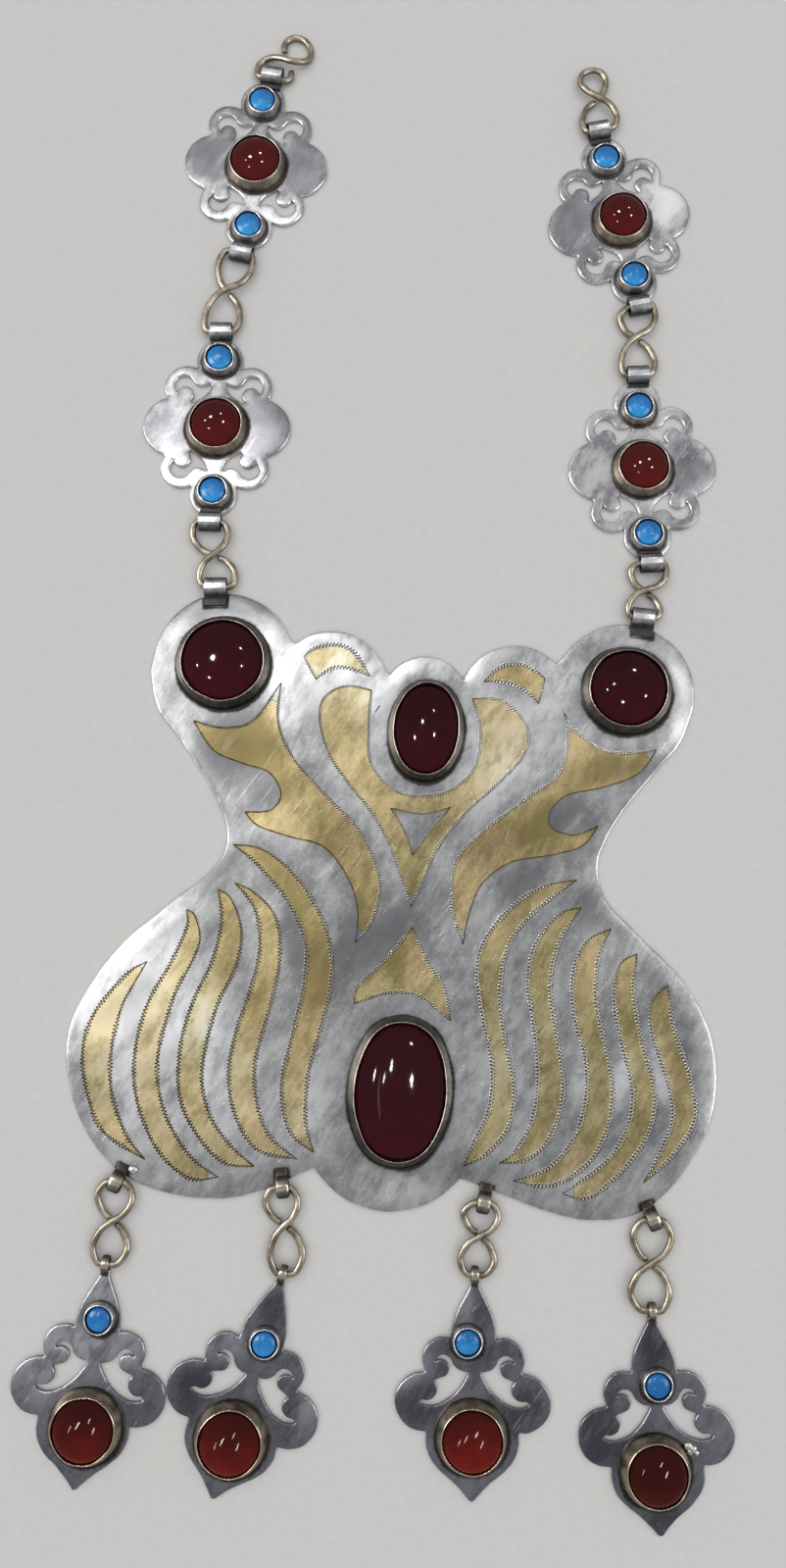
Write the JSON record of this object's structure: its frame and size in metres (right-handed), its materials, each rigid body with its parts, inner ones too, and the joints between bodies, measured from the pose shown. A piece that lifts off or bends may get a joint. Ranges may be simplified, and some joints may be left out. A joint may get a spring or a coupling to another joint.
{
  "type": "medallion necklace",
  "caption": "Silver pectoral necklace with a lobed medallion, pierced rosettes on wire links, hanging drops and cabochon stones, made to lie on the chest.",
  "frame": {"origin": "on the flat back of the medallion plate, near its middle", "axes": "+Y towards the two chains, +Z out of the front of the plate, +X to the right of someone who looks at the front"},
  "size_m": [0.1343, 0.2968, 0.006],
  "materials": {
    "silver": "hammered and worn silver sheet with fire-gilt ornament",
    "link_wire": "dull silver wire with a warm tarnish",
    "dark_carnelian": "polished cabochon",
    "carnelian": "polished cabochon",
    "turquoise": "polished cabochon"
  },
  "bodies": {
    "root": {"medallion": "silver", "rosette_left_top": "silver", "rosette_left_low": "silver", "rosette_right_top": "silver", "rosette_right_low": "silver", "drop_1": "silver", "drop_2": "silver", "drop_3": "silver", "drop_4": "silver", "stone_corner_left": "dark_carnelian", "stone_corner_right": "dark_carnelian", "stone_upper_oval": "dark_carnelian", "stone_large_oval": "dark_carnelian", "carnelian_left_top": "carnelian", "carnelian_left_low": "carnelian", "carnelian_right_top": "carnelian", "carnelian_right_low": "carnelian", "turquoise_left_top_upper": "turquoise", "turquoise_left_top_lower": "turquoise", "turquoise_left_low_upper": "turquoise", "turquoise_left_low_lower": "turquoise", "turquoise_right_top_upper": "turquoise", "turquoise_right_top_lower": "turquoise", "turquoise_right_low_upper": "turquoise", "turquoise_right_low_lower": "turquoise", "carnelian_drop_1": "carnelian", "carnelian_drop_2": "carnelian", "carnelian_drop_3": "carnelian", "carnelian_drop_4": "carnelian", "turquoise_drop_1": "turquoise", "turquoise_drop_2": "turquoise", "turquoise_drop_3": "turquoise", "turquoise_drop_4": "turquoise", "hook_left_end": "link_wire", "eye_right_end": "link_wire", "link_left_mid": "link_wire", "link_right_mid": "link_wire", "link_left_low": "link_wire", "link_right_low": "link_wire", "link_drop_1": "link_wire", "link_drop_2": "link_wire", "link_drop_3": "link_wire", "link_drop_4": "link_wire"}
  },
  "joints": []
}
